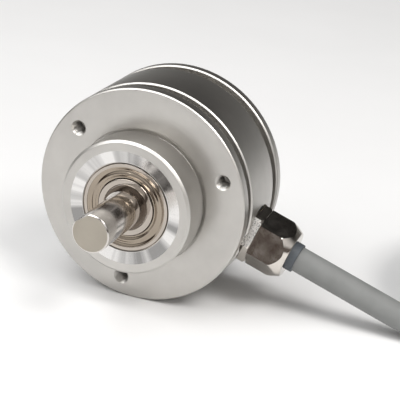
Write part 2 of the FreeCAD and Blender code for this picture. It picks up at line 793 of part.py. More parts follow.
def core_stations():
    """Mid radius, height and length of each bare core past the sleeve."""
    places, pitch, per_layer = [], 2 * core_r + core_gap, core_count // 2
    for k in range(core_count):
        layer, place = k // per_layer, k % per_layer
        r_mid = sleeve_mid_r + (place - (per_layer - 1) / 2) * pitch
        z = end_bed_z + core_r + core_gap + layer * pitch
        places.append((r_mid, z, core_len + core_len_step * ((3 * place + layer) % 4)))
    return places


def core_start_deg():
    return coil_start_deg + coil_end_deg() + math.degrees(sleeve_len / sleeve_mid_r)


def make_core_ends():
    return Part.makeCompound([arc_tube(r_mid, z, core_start_deg(), length, core_r)
                              for r_mid, z, length in core_stations()])


def make_ferrules():
    """Crimped tubes on the core ends."""
    tubes = []
    for r_mid, z, length in core_stations():
        start = core_start_deg() + math.degrees(length / r_mid)
        tubes.append(arc_tube(r_mid, z, start, ferrule_len, ferrule_r))
    return Part.makeCompound(tubes)


# ---- write every part ---------------------------------------------------------------------
lead, lead_radii, lead_len = swept_round(lead_route(), cable_r)
tube_error = lead.Volume / (math.pi * cable_r ** 2 * lead_len) - 1
print("lead radii", [round(r, 1) for r in lead_radii], "length", round(lead_len, 1),
      "volume against section x length", round(tube_error, 5))
print("cable wound round the coil", round(coil_end_deg(), 1), "deg")

shapes = {
    "front_flange": make_flange(),
    "housing": make_housing(),
    "rear_cover": make_rear_cover(),
    "front_o_ring": make_o_ring(housing_y0, 1),
    "rear_o_ring": make_o_ring(housing_y1, -1),
    "cover_screws": make_cover_screws(),
    "shaft": make_shaft(),
    "bearing_preload_spring": make_preload_spring(),
    "shaft_circlip": make_circlip(),
    "disc_hub": make_disc_hub(),
    "hub_set_screw": make_set_screw(),
    "code_disc": make_code_disc(),
    "disc_clamp_ring": make_clamp_ring(),
    "lamp_holder": make_lamp_holder(),
    "lamp": make_lamp(),
    "mask_plate": make_mask(),
    "sensor_chip": make_sensor_chip(),
    "circuit_board": make_board(),
    "board_standoffs": make_standoffs(),
    "board_screws": make_board_screws(),
    "wire_connector": make_connector(),
    "line_driver_chip": make_driver_chip(),
    "capacitors": make_capacitors(),
    "inner_wires": make_inner_wires(),
    "gland_gasket": make_gland_gasket(),
    "gland_body": make_gland_body(),
    "gland_nut": make_gland_nut(),
    "gland_seal": make_gland_seal(),
    "cable_in_gland": make_cable_in_gland(),
    "cable_lead": lead,
    "cable_coil": make_coil(),
    "cable_end_sleeve": make_end_sleeve(),
    "cable_cores": make_core_ends(),
    "core_ferrules": make_ferrules(),
}
for place, y in (("front", front_bearing_y), ("rear", rear_bearing_y)):
    shapes[place + "_bearing_outer_ring"] = make_outer_ring(y)
    shapes[place + "_bearing_inner_ring"] = make_inner_ring(y)
    shapes[place + "_bearing_balls"] = make_balls(y)
    shapes[place + "_bearing_cage"] = make_cage(y)
    shapes[place + "_bearing_shields"] = make_shields(y)

for node, shape in shapes.items():
    shape.exportStep("parts/" + node + ".step")
    box = shape.BoundBox
    print("%-26s solids %2d valid %s  y %7.2f %7.2f  z %7.2f" % (
        node, len(shape.Solids), shape.isValid(), box.YMin, box.YMax, box.ZMin))
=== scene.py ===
import json
import math

import bmesh
import bpy
from mathutils import Matrix, Vector


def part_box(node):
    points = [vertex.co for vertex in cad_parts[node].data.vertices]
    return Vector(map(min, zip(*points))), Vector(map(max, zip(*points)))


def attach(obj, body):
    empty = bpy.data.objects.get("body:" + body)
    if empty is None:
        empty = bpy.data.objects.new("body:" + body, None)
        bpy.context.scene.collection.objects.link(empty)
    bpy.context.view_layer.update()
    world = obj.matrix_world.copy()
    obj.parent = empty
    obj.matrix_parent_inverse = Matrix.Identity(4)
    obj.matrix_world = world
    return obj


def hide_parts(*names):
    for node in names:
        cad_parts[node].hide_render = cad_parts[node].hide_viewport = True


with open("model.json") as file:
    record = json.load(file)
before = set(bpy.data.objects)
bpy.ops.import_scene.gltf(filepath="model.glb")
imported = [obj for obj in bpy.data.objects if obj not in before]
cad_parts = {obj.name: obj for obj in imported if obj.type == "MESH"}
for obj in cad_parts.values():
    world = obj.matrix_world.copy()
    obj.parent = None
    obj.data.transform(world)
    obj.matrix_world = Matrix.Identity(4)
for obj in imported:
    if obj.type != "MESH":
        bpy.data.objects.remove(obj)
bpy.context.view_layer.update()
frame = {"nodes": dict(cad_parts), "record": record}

# Solid-shaft rotary encoder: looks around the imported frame. The shaft axis is Y, +Z is up.
# Blender works in metres, and so do the sizes taken from the frame. The shapes' own sizes are
# in millimetres, as are the profiles that lathe and hexagon take, and MM turns them into metres.

MM = 0.001
nodes = frame["nodes"]
mounts = {m["name"]: m for m in frame["record"]["mounts"]}
SHAFT = "shaft"
BODY = "encoder_body"

# ---- sizes taken from the frame -----------------------------------------------------------------
def low(node):
    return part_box(node)[0]


def high(node):
    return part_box(node)[1]


floor_z = min(low(n).z for n in ("front_flange", "cable_coil"))
flange_r = high("front_flange").x
collar_r = mounts["centring_collar"]["dims"]["r_mm"] * MM
shaft_r = mounts["shaft_end"]["dims"]["r_mm"] * MM
hole_r = mounts["mounting_holes"]["dims"]["hole_r_mm"] * MM
hole_circle_r = mounts["mounting_holes"]["dims"]["pcd_mm"] / 2 * MM
bearing_r = high("front_bearing_outer_ring").x
housing_y0, housing_y1 = low("housing").y, high("housing").y
case_end = high("rear_cover").y
coil_lo, coil_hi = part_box("cable_coil")
cable_r = (high("cable_in_gland").y - low("cable_in_gland").y) / 2
gland_y = (housing_y0 + housing_y1) / 2

# ---- shapes, in millimetres -----------------------------------------------------------------------
case_segments, shaft_segments, gland_segments = 256, 192, 96
outline_segments, hole_segments, screw_segments = 128, 48, 32
overrun = 1.0              # how far a cutter runs past what it cuts
beyond_case = 40.0         # along the gland's axis, clear of the case

# case
edge = 0.4                 # its chamfers
broken_edge = 0.1          # rounds left on turned corners
mouth_step, mouth_edge = 0.2, 0.05     # round the front bearing
rim_round = 0.15
collar_round = 0.12
groove_root = 0.25
groove_depth = 2.5
rim_len = 3.0              # rim in front of the clamping groove
rear_rim_len = 2.9
collar_chamfer = 0.7
collar_face_w = 2.1
relief_len, relief_depth = 1.0, 0.6
relief_out, relief_sink = 0.4, 0.2
housing_wall = 3.5
hub_r = 14.0               # boss round the rear bearing
web_r, web_y0, web_y1 = 10.9, -3.4, 0.8     # shoulder between the bearings
spigot_len = 1.9
ring_groove = (0.5, 1.4, 0.8)      # from the housing's edge to its start and end, and its depth
slip = 0.05
boss_inner, boss_r = 21.5, 8.0      # inside the housing, where the gland screws in

# holes
hole_from_x_deg = 20.9
hole_count = 3
hole_mouth_r = 2.1
hole_depth = 6.0
hole_cone = 0.6            # the drill's cone at the bottom
thread_pitch = 0.7
thread_depth = 0.3
thread_start, thread_crest, thread_foot, thread_stop = 0.25, 0.4, 0.8, 1.5     # parts of the pitch
standoff_hole = (4, 20.0, 26.5, 1.3)      # how many, circle's radius, first angle, radius
cover_hole = (3, 21.3, 71.5, 1.55)
back_hole_y0 = 4.3
cover_head_r, cover_head_depth = 3.0, 1.3
cover_clear_r = 1.7

# bearings
race_circle_r, ball_groove_r, race_land = 9.0, 1.62, 0.22
race_steps = 8
ring_round = 0.3
ring_edge = 0.06
corner_w, corner_depth = 0.36, 0.6     # the outer ring's corner, a dark line in the collar's mouth
shield_seat_r, shield_outer_r, shield_inner_r = 10.8, 10.78, 7.82
shield_sink, shield_depth, shield_t = 0.5, 0.34, 0.14
shield_wave, shield_waves, shield_steps = 0.17, 1.6, 24

# shaft
shaft_end_chamfer, shaft_end_edge = 0.3, 0.08
flat_depth, flat_len, flat_deg = 0.7, 18.4, 125.0
facing_front = 0.99        # how squarely a face looks forward to count as an end face
journal_r, stub_r, shoulder_r, clip_r = 6.0, 4.0, 7.2, 5.6
journal_y0, rear_bearing_y0, clip_y0, clip_y1, journal_y1 = -8.8, 2.2, 8.2, 9.0, 9.6

# cable gland, with places along its axis counted from the shaft's axis
gland_down_deg = 18.5
gland_flats = 14.0
gland_corner_r = gland_flats / 2 / math.cos(math.pi / 6)
gland_spot_gap = 0.2       # round the hexagon's corners, in the spot face
gland_seat, gland_hex0, gland_hex1 = 27.2, 27.7, 30.5
gland_nut0, gland_nut1 = 30.65, 40.55
gland_nut_end_r = 6.4
gland_body_turn, gland_nut_turn = 34.0, 45.0
gland_chamfer = 0.5
gland_corner_slope = 4     # the body's corner chamfer runs this many times as far out as along
gland_edge = 0.12
gland_sharp_deg = 14.0
highlight_facet_deg = 210.0     # from the hexagon's first corner to the middle of its rough, speckled facet, which is painted light: a painted highlight
highlight_facet_within = 0.97
gland_bore_r, gland_neck_r, gland_neck1 = 3.6, 5.6, 35.5
gland_thread_r, gland_inner = 6.0, 22.0
neck_gap = 0.2
nut_shoulder_round, nut_end_round = 0.4, 0.3
nut_mouth_in, nut_mouth_out, nut_mouth_w = 0.2, 0.1, 0.35     # chamfer round the seal, past the nut's end
seal_r, seal_lip_r, seal0, seal_lip0, seal_end = 4.85, 4.0, 32.0, 39.35, 42.55
seal_round = 0.2

# ---- cable's route ----------------------------------------------------------------------------------
lead_hold = 62.0           # millimetres out along the gland's axis, where the lead is still straight
coil_start_deg = 268.0
coil_total_deg = 1480.3
coil_step_deg = 15.0
# how far round the cable has wound when it starts to move, and the degrees that it takes
coil_inward, coil_outward = (270.0, 90.0), (930.0, 75.0)
coil_climbs = ((615.0, 60.0), (1260.0, 60.0))

# ---- camera, lights and room --------------------------------------------------------------------------
camera_mm = (139.51, -337.17, 141.34)
camera_azimuth, camera_elevation, camera_roll = 20.02, 21.13, 4.98      # degrees
camera_lens, camera_sensor = 135.01, 36.0
camera_near, camera_far = 0.01, 20.0
key_light = {"place": (-0.35, -0.30, 0.85), "size": 0.95, "power": 8.0}
fill_light = {"place": (0.58, -0.28, 0.80), "size": 0.40, "power": 5.6, "colour": (1.0, 0.98, 0.96)}
floor_half = 3.0
room_warm, room_bright, room_top = (0.095, 0.075, 0.065), (0.80, 0.79, 0.78), (0.70, 0.70, 0.70)
room_low, room_grey, room_dark = (0.30, 0.30, 0.29), (0.13, 0.125, 0.12), (0.015, 0.014, 0.013)
# colour by the sine of the elevation, from the horizon up
room_front = ((0.0, room_warm), (0.20, room_warm), (0.33, room_bright), (0.66, room_bright),
              (0.80, room_dark), (1.0, room_top))
room_behind = ((0.0, room_low), (0.08, room_low), (0.28, room_grey), (0.45, room_grey),
               (0.55, room_dark), (0.85, room_dark), (1.0, room_top))
room_turns = (-0.35, 0.25)      # the direction's Y where the front ends and where the back begins


# ---- mesh helpers ---------------------------------------------------------------------------------
def rounded(profile, steps=4):
    """Replaces each (u, v, radius) corner with a short curve; (u, v) corners stay sharp."""
    out, count = [], len(profile)
    for i, corner in enumerate(profile):
        here = Vector(corner[:2])
        if len(corner) < 3:
            out.append(here)
            continue
        before, after = Vector(profile[i - 1][:2]), Vector(profile[(i + 1) % count][:2])
        start = here + (before - here).normalized() * corner[2]
        end = here + (after - here).normalized() * corner[2]
        for k in range(steps + 1):
            t = k / steps
            out.append(start * (1 - t) ** 2 + here * 2 * t * (1 - t) + end * t ** 2)
    return out


def piece_from(name, verts, faces, materials):
    mesh = bpy.data.meshes.new(name)
    mesh.from_pydata([tuple(v) for v in verts], [], faces)
    mesh.validate()
    obj = bpy.data.objects.new(name, mesh)
    bpy.context.scene.collection.objects.link(obj)
    for mat in materials:
        mesh.materials.append(mat)
    smooth(obj)
    return obj


def smooth(obj, sharp_deg=32):
    for poly in obj.data.polygons:
        poly.use_smooth = True
    obj.data.set_sharp_from_angle(angle=math.radians(sharp_deg))


def lathe(name, profile, materials, segments=case_segments, place=None):
    """Turns a closed (radius, length) profile, in millimetres, about Y or about place's local Y."""
    points = rounded(profile)
    verts, faces, rows = [], [], []
    for r, y in points:
        if r < 1e-6:
            rows.append([len(verts)] * segments)
            verts.append(Vector((0, y, 0)) * MM)
            continue
        rows.append(list(range(len(verts), len(verts) + segments)))
        for k in range(segments):
            a = 2 * math.pi * k / segments
            verts.append(Vector((r * math.cos(a), y, r * math.sin(a))) * MM)
    for i, row in enumerate(rows):
        after = rows[(i + 1) % len(rows)]
        for k in range(segments):
            n = (k + 1) % segments
            face = list(dict.fromkeys((row[k], row[n], after[n], after[k])))
            if len(face) > 2:
                faces.append(face)
    if place is not None:
        verts = [place @ v for v in verts]
    obj = piece_from(name, verts, faces, materials)
    outward(obj)
    return obj


def outward(obj):
    """Turns every face to the outside."""
    work = bmesh.new()
    work.from_mesh(obj.data)
    bmesh.ops.recalc_face_normals(work, faces=work.faces)
    work.to_mesh(obj.data)
    work.free()


def with_modifier(obj, kind, **settings):
    """Applies one modifier and keeps the result as the object's own mesh."""
    modifier = obj.modifiers.new(kind, kind)
    for key, value in settings.items():
        setattr(modifier, key, value)
    graph = bpy.context.evaluated_depsgraph_get()
    mesh = bpy.data.meshes.new_from_object(obj.evaluated_get(graph))
    obj.modifiers.clear()
    obj.data = mesh
    smooth(obj)
    return obj


def boolean(obj, other, operation="DIFFERENCE"):
    with_modifier(obj, "BOOLEAN", object=other, operation=operation, solver="EXACT")
    bpy.data.objects.remove(other)
    return obj


def joined(objs):
    """One object that holds the meshes of several."""
    work = bmesh.new()
    for obj in objs:
        work.from_mesh(obj.data)
    work.to_mesh(objs[0].data)
    work.free()
    for obj in objs[1:]:
        bpy.data.objects.remove(obj)
    return objs[0]


def bevelled(obj, width, from_deg=25):
    """Rounds each edge that is sharper than from_deg, over width in millimetres."""
    return with_modifier(obj, "BEVEL", width=width * MM, segments=2, limit_method="ANGLE",
                         angle_limit=math.radians(from_deg))


def hexagon(name, across_flats, y0, y1, turn_deg, materials, place):
    """A six-sided bar along place's local Y; turn_deg is its first corner's angle from local Z."""
    sides = 6
    corner = across_flats / 2 / math.cos(math.pi / sides)
    ring = [math.radians(turn_deg) + 2 * math.pi * k / sides for k in range(sides)]
    verts = [place @ (Vector((corner * math.sin(a), y, corner * math.cos(a))) * MM)
             for y in (y0, y1) for a in ring]
    faces = [list(range(sides)), list(range(sides, 2 * sides))]
    faces += [[k, (k + 1) % sides, sides + (k + 1) % sides, sides + k] for k in range(sides)]
    obj = piece_from(name, verts, faces, materials)
    outward(obj)
    return obj


def gland_frame():
    """Local Y runs out along the gland, from the shaft's axis."""
    a = math.radians(gland_down_deg)
    out = Vector((math.cos(a), 0, -math.sin(a)))
    side = Vector((0, 1, 0))
    third = side.cross(out)
    turn = Matrix((side, out, third)).transposed().to_4x4()
    return Matrix.Translation(Vector((0, gland_y, 0))) @ turn


def show(obj, body, slot, *replaced):
    """Makes obj move with its body, and stand for the CAD nodes that it replaces."""
    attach(obj, body)
    if replaced:
        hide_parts(*replaced)


# ---- materials ------------------------------------------------------------------------------------
class Finish:
    """A Principled material, with short ways to add its variation."""

    def __init__(self, name, colour, roughness, metallic=0.0, **sockets):
        self.mat = bpy.data.materials.new(name)
        self.mat.use_nodes = True
        self.tree = self.mat.node_tree
        self.shader = self.tree.nodes["Principled BSDF"]
        self.colour = tuple(colour) + (1.0,)
        self.shader.inputs["Base Color"].default_value = self.colour
        self.shader.inputs["Roughness"].default_value = roughness
        self.shader.inputs["Metallic"].default_value = metallic
        for key, value in sockets.items():
            self.shader.inputs[key.replace("_", " ")].default_value = value

    def add(self, kind, **settings):
        node = self.tree.nodes.new("ShaderNode" + kind)
        for key, value in settings.items():
            setattr(node, key, value)
        return node

    def join(self, out, into):
        self.tree.links.new(out, into)

    def place(self):
        return self.add("TexCoord").outputs["Object"]

    def turned_place(self):
        """(radius, length, a little of the angle), so that noise forms the rings of turning."""
        split = self.add("SeparateXYZ")
        self.join(self.place(), split.inputs[0])
        flat = self.add("CombineXYZ")
        self.join(split.outputs["X"], flat.inputs["X"])
        self.join(split.outputs["Z"], flat.inputs["Z"])
        radius = self.add("VectorMath", operation="LENGTH")
        self.join(flat.outputs[0], radius.inputs[0])
        out = self.add("CombineXYZ")
        self.join(radius.outputs["Value"], out.inputs["X"])
        self.join(split.outputs["Y"], out.inputs["Y"])
        drift = self.add("VectorMath", operation="SCALE")
        drift.inputs["Scale"].default_value = 0.012
        self.join(flat.outputs[0], drift.inputs[0])
        mixed = self.add("VectorMath", operation="ADD")
        self.join(out.outputs[0], mixed.inputs[0])
        self.join(drift.outputs[0], mixed.inputs[1])
        return mixed.outputs[0]

    def noise(self, where, size_mm, detail=3.0, rough=0.55):
        node = self.add("TexNoise")
        node.inputs["Scale"].default_value = 1000.0 / size_mm
        node.inputs["Detail"].default_value = detail
        node.inputs["Roughness"].default_value = rough
        self.join(where, node.inputs["Vector"])
        return node.outputs["Fac"]

    def spread(self, fac, low_value, high_value, start=0.3, end=0.7):
        node = self.add("MapRange")
        limits = {"From Min": start, "From Max": end, "To Min": low_value, "To Max": high_value}
        for key, value in limits.items():
            node.inputs[key].default_value = value
        self.join(fac, node.inputs["Value"])
        return node.outputs["Result"]

    def tint(self, fac, dark, light):
        """Base colour between two multiples of the colour, following fac."""
        base = self.colour[:3]
        mix = self.add("Mix", data_type="RGBA")
        mix.inputs["A"].default_value = tuple(c * dark for c in base) + (1.0,)
        mix.inputs["B"].default_value = tuple(min(c * light, 1.0) for c in base) + (1.0,)
        self.join(self.spread(fac, 0.0, 1.0), mix.inputs["Factor"])
        self.join(mix.outputs["Result"], self.shader.inputs["Base Color"])

    def rough(self, fac, low_value, high_value):
        self.join(self.spread(fac, low_value, high_value), self.shader.inputs["Roughness"])

    def bump(self, fac, distance_mm):
        node = self.add("Bump")
        node.inputs["Strength"].default_value = 1.0
        node.inputs["Distance"].default_value = distance_mm * MM
        self.join(fac, node.inputs["Height"])
        self.join(node.outputs["Normal"], self.shader.inputs["Normal"])

    def lathe_grain(self):
        tangent = self.add("Tangent", direction_type="RADIAL", axis="Y")
        self.join(tangent.outputs[0], self.shader.inputs["Tangent"])


def turned_metal(name, colour, rough_low, rough_high, grain_mm, depth_mm, anisotropy):
    """Metal off a lathe: fine rings in roughness and height, and a soft drift in tone."""
    finish = Finish(name, colour, (rough_low + rough_high) / 2, 1.0, Anisotropic=anisotropy)
    rings = finish.noise(finish.turned_place(), grain_mm, 4.0, 0.7)
    cloud = finish.noise(finish.place(), 9.0, 3.0)
    finish.rough(rings, rough_low, rough_high)
    finish.tint(cloud, 0.94, 1.05)
    finish.bump(rings, depth_mm)
    finish.lathe_grain()
    return finish.mat


def painted_streak_metal(name, colour, rough_low, rough_high):
    """Metal cut to a mirror, with painted reflections: dark and light marks out from the axis, painted into
    its colour.
    """
    finish = Finish(name, colour, rough_low, 1.0, Anisotropic=0.6)
    flatten = finish.add("VectorMath", operation="MULTIPLY")
    flatten.inputs[1].default_value = (1, 0, 1)
    finish.join(finish.place(), flatten.inputs[0])
    spoke = finish.add("VectorMath", operation="NORMALIZE")
    finish.join(flatten.outputs[0], spoke.inputs[0])
    painted_reflection_streaks = finish.add("TexNoise")
    painted_reflection_streaks.inputs["Scale"].default_value = 1.9
    painted_reflection_streaks.inputs["Detail"].default_value = 3.5
    finish.join(spoke.outputs[0], painted_reflection_streaks.inputs["Vector"])
    rings = finish.noise(finish.turned_place(), 0.12, 4.0, 0.7)
    finish.rough(rings, rough_low, rough_high)
    # painted reflection: the colour darkens and lightens in radial streak marks, standing in for dark and
    # bright parts of the room mirrored in the cut
    finish.tint(finish.spread(painted_reflection_streaks.outputs["Fac"], 0.0, 1.0, 0.36, 0.64), 0.48, 1.25)
    finish.bump(rings, 0.0015)
    finish.lathe_grain()
    return finish.mat


def plated_metal(name, colour, rough_low, rough_high, speck_mm, depth_mm):
    """Plated or polished metal, with faint pitting and handling marks."""
    finish = Finish(name, colour, rough_low, 1.0)
    specks = finish.noise(finish.place(), speck_mm, 5.0, 0.65)
    marks = finish.noise(finish.place(), speck_mm * 9, 3.0)
    finish.rough(marks, rough_low, rough_high)
    finish.tint(marks, 0.9, 1.06)
    finish.bump(specks, depth_mm)
    return finish.mat


def speckled_metal(name, colour, rough_low, rough_high, speck_mm, depth_mm):
    """Plated metal with fine dark specks on a rougher surface; the bright colour between the specks paints a
    highlight.
    """
    finish = Finish(name, colour, rough_low, 1.0)
    specks = finish.noise(finish.place(), speck_mm, 3.0, 0.7)
    finish.rough(specks, rough_high, rough_low)
    # painted highlight: between the specks the colour rises above the plating's own
    finish.tint(finish.spread(specks, 0.0, 1.0, 0.38, 0.50), 0.25, 1.06)
    finish.bump(specks, depth_mm)
    return finish.mat


def moulded(name, colour, roughness, grain_mm, depth_mm):
    """Plastic, rubber and laminate: a fine grain and a slight change of tone."""
    finish = Finish(name, colour, roughness)
    grain = finish.noise(finish.place(), grain_mm, 4.0, 0.6)
    cloud = finish.noise(finish.place(), grain_mm * 25, 2.0)
    finish.rough(grain, roughness * 0.9, min(roughness * 1.12, 1.0))
    finish.tint(cloud, 0.93, 1.07)
    finish.bump(grain, depth_mm)
    return finish.mat


def core_colours(name):
    """Insulation in one plain colour on each core."""
    finish = Finish(name, (0.55, 0.52, 0.46), 0.4)
    ramp = finish.add("ValToRGB")
    finish.join(finish.add("NewGeometry").outputs["Random Per Island"], ramp.inputs["Fac"])
    colours = ((0.72, 0.71, 0.68), (0.16, 0.07, 0.03), (0.03, 0.22, 0.06), (0.75, 0.55, 0.04),
               (0.22, 0.22, 0.23), (0.70, 0.25, 0.30), (0.03, 0.08, 0.35), (0.50, 0.03, 0.02))
    elements = ramp.color_ramp.elements
    ramp.color_ramp.interpolation = "CONSTANT"
    for k in range(1, len(colours) - 1):
        elements.new(k / len(colours))
    elements[-1].position = (len(colours) - 1) / len(colours)
    for element, colour in zip(elements, colours):
        element.color = colour + (1,)
    grain = finish.noise(finish.place(), 0.3, 3.0)
    shade = finish.add("Mix", data_type="RGBA", blend_type="MULTIPLY")
    shade.inputs["B"].default_value = (0.82, 0.82, 0.82, 1)
    finish.join(grain, shade.inputs["Factor"])
    finish.join(ramp.outputs["Color"], shade.inputs["A"])
    finish.join(shade.outputs["Result"], finish.shader.inputs["Base Color"])
    finish.rough(grain, 0.34, 0.46)
    finish.bump(grain, 0.003)
    return finish.mat


# colour, lowest and highest roughness, size and height of the grain in millimetres, and for turned
# metal its anisotropy; plastics have one roughness
MATERIALS = {
    "turned_aluminium": turned_metal("turned_aluminium", (0.545, 0.53, 0.505), 0.33, 0.43, 0.16, 0.004, 0.5),
    # bright_cut is a real mirror finish, with painted reflections streaked into its colour
    "bright_cut": painted_streak_metal("bright_cut", (0.61, 0.60, 0.59), 0.10, 0.17),
    "shaft_steel": turned_metal("shaft_steel", (0.66, 0.63, 0.60), 0.11, 0.18, 0.10, 0.001, 0.5),
    # the journal step's finish: near-black steel, painted shade in the recess round the shaft's root
    "shaft_step_painted_shade": turned_metal("shaft_step_painted_shade", (0.13, 0.105, 0.085), 0.2, 0.3, 0.2, 0.002, 0.2),
    "shaft_end": turned_metal("shaft_end", (0.42, 0.385, 0.33), 0.42, 0.52, 0.2, 0.004, 0.2),
    "bearing_steel": turned_metal("bearing_steel", (0.46, 0.415, 0.37), 0.08, 0.14, 0.2, 0.001, 0.3),
    "shield_steel": turned_metal("shield_steel", (0.34, 0.29, 0.235), 0.09, 0.15, 0.3, 0.0015, 0.3),
    "nickel_brass": plated_metal("nickel_brass", (0.70, 0.66, 0.61), 0.10, 0.19, 0.35, 0.004),
    # near-white speckled nickel for one facet of the gland body: a speckled grain, with a painted highlight
    # in its colour
    "speckled_highlight_nickel": speckled_metal("speckled_highlight_nickel", (0.93, 0.91, 0.88), 0.30, 0.5, 0.30, 0.02),
    "screw_steel": plated_metal("screw_steel", (0.50, 0.50, 0.51), 0.2, 0.3, 0.3, 0.003),
    "spring_steel": plated_metal("spring_steel", (0.30, 0.30, 0.32), 0.25, 0.35, 0.2, 0.002),
    "cage_steel": plated_metal("cage_steel", (0.50, 0.48, 0.45), 0.22, 0.32, 0.2, 0.002),
    "hub_aluminium": turned_metal("hub_aluminium", (0.66, 0.66, 0.66), 0.25, 0.35, 0.15, 0.003, 0.4),
    "standoff_brass": plated_metal("standoff_brass", (0.72, 0.52, 0.22), 0.18, 0.28, 0.2, 0.002),
    "capacitor_can": plated_metal("capacitor_can", (0.58, 0.58, 0.60), 0.2, 0.3, 0.2, 0.002),
    "ferrule_tin": plated_metal("ferrule_tin", (0.66, 0.66, 0.64), 0.25, 0.38, 0.2, 0.002),
    "disc_glass": moulded("disc_glass", (0.45, 0.50, 0.52), 0.08, 0.5, 0.0005),
    "black_rubber": moulded("black_rubber", (0.018, 0.018, 0.02), 0.62, 0.12, 0.006),
    "seal_rubber": moulded("seal_rubber", (0.078, 0.090, 0.103), 0.55, 0.12, 0.006),
    "black_plastic": moulded("black_plastic", (0.022, 0.022, 0.024), 0.45, 0.2, 0.006),
    "lamp_lens": moulded("lamp_lens", (0.45, 0.50, 0.56), 0.1, 0.5, 0.0005),
    "board_laminate": moulded("board_laminate", (0.012, 0.13, 0.05), 0.35, 0.3, 0.004),
    "connector_plastic": moulded("connector_plastic", (0.74, 0.70, 0.58), 0.4, 0.2, 0.003),
    "core_insulation": core_colours("core_insulation"),
    "cable_jacket": moulded("cable_jacket", (0.205, 0.21, 0.205), 0.6, 0.22, 0.008),
    "black_sleeve": moulded("black_sleeve", (0.02, 0.02, 0.022), 0.5, 0.3, 0.012),
}


def finish_cad_nodes():
    """Every node of the frame gets its slot's finish."""
    for entry in frame["record"]["subparts"]:
        data = nodes[entry["node"]].data
        for i in range(len(data.materials)):
            data.materials[i] = MATERIALS[entry["material_slot"]]


# ---- camera, light and floor ------------------------------------------------------------------------
def make_camera():
    azimuth, elevation, roll = (math.radians(a) for a in (camera_azimuth, camera_elevation, camera_roll))
    data = bpy.data.cameras.new("camera")
    data.lens, data.sensor_width = camera_lens, camera_sensor
    data.clip_start, data.clip_end = camera_near, camera_far
    camera = bpy.data.objects.new("camera", data)
    turn = (Matrix.Rotation(azimuth, 4, "Z") @ Matrix.Rotation(math.pi / 2 - elevation, 4, "X")
            @ Matrix.Rotation(roll, 4, "Z"))
    camera.matrix_world = Matrix.Translation(Vector(camera_mm) * MM) @ turn
    bpy.context.scene.collection.objects.link(camera)
    bpy.context.scene.camera = camera


def add_light(name, place, size, power, colour=(1, 1, 1)):
    """A square softbox that faces the encoder."""
    data = bpy.data.lights.new(name, "AREA")
    data.shape, data.size, data.energy, data.color = "SQUARE", size, power, colour
    light = bpy.data.objects.new(name, data)
    light.location = place
    light.rotation_euler = (-Vector(place)).to_track_quat("-Z", "Y").to_euler()
    bpy.context.scene.collection.objects.link(light)


def elevation_ramp(tree, height, stops):
    """World colour by height, through (height, colour) stops."""
    ramp = tree.nodes.new("ShaderNodeValToRGB")
    tree.links.new(height, ramp.inputs["Fac"])
    elements = ramp.color_ramp.elements
    elements[0].position, elements[1].position = stops[0][0], stops[-1][0]
    for position, _ in stops[1:-1]:
        elements.new(position)
    for element, (_, colour) in zip(elements, stops):
        element.color = tuple(colour) + (1,)
    return ramp.outputs["Color"]


def make_studio():
    """A pale floor in a room that is bright above the front, and darker behind and overhead."""
    world = bpy.data.worlds.new("studio")
    bpy.context.scene.world = world
    world.use_nodes = True
    tree = world.node_tree
    where = tree.nodes.new("ShaderNodeTexCoord")
    split = tree.nodes.new("ShaderNodeSeparateXYZ")
    tree.links.new(where.outputs["Generated"], split.inputs[0])
    front = elevation_ramp(tree, split.outputs["Z"], room_front)
    behind = elevation_ramp(tree, split.outputs["Z"], room_behind)
    side = tree.nodes.new("ShaderNodeMapRange")
    side.interpolation_type = "SMOOTHSTEP"
    side.inputs["From Min"].default_value, side.inputs["From Max"].default_value = room_turns
    tree.links.new(split.outputs["Y"], side.inputs["Value"])
    mix = tree.nodes.new("ShaderNodeMix")
    mix.data_type = "RGBA"
    tree.links.new(side.outputs["Result"], mix.inputs["Factor"])
    tree.links.new(front, mix.inputs["A"])
    tree.links.new(behind, mix.inputs["B"])
    tree.links.new(mix.outputs["Result"], tree.nodes["Background"].inputs["Color"])

    add_light("key", **key_light)
    add_light("fill", **fill_light)

    corners = [(x * floor_half, y * floor_half, floor_z) for x, y in ((-1, -1), (1, -1), (1, 1), (-1, 1))]
    floor = piece_from("floor", corners, [[0, 1, 2, 3]], [])
    finish = Finish("floor_white", (0.86, 0.86, 0.86), 0.7)
    finish.tint(finish.noise(finish.place(), 60.0, 2.0), 0.99, 1.01)
    floor.data.materials.append(finish.mat)
    bpy.context.scene.view_settings.view_transform = "Standard"


# ---- cable ------------------------------------------------------------------------------------------
def ease(turned, start, over):
    """From 0 to 1, smoothly, as turned goes from start to start + over."""
    t = min(max((turned - start) / over, 0.0), 1.0)
    return t * t * (3 - 2 * t)


def on_axis(out_mm):
    return gland_frame() @ Vector((0, out_mm * MM, 0))


def lead_points():
    """Straight out of the gland, held so by one point more, then onto the surface."""
    run = math.radians(gland_down_deg)
    lie_z = floor_z + cable_r
    touch = -lie_z / math.sin(run) / MM
    return [on_axis(seal_end), on_axis(lead_hold), on_axis(touch)]


def coil_line():
    """The coil's turns, each a diameter from the next: in along the surface, out again on the
    second layer, and the rest on the third."""
    centre = (coil_lo + coil_hi) / 2
    outer = (coil_hi.x - coil_lo.x) / 2 - cable_r
    inner = outer - 2 * cable_r
    low_z = floor_z + cable_r
    count = round(coil_total_deg / coil_step_deg)
    step = coil_total_deg / count
    points = []
    for k in range(count + 1):
        turned = k * step
        r = outer - (outer - inner) * (ease(turned, *coil_inward) - ease(turned, *coil_outward))
        z = low_z + 2 * cable_r * sum(ease(turned, *climb) for climb in coil_climbs)
        a = math.radians(coil_start_deg + turned)
        # a quadratic spline runs inside its control points by this much, except at its ends
        reach = r if k in (0, count) else r / math.cos(math.radians(step / 2))
        points.append(Vector((centre.x + reach * math.cos(a), centre.y + reach * math.sin(a), z)))
    return points


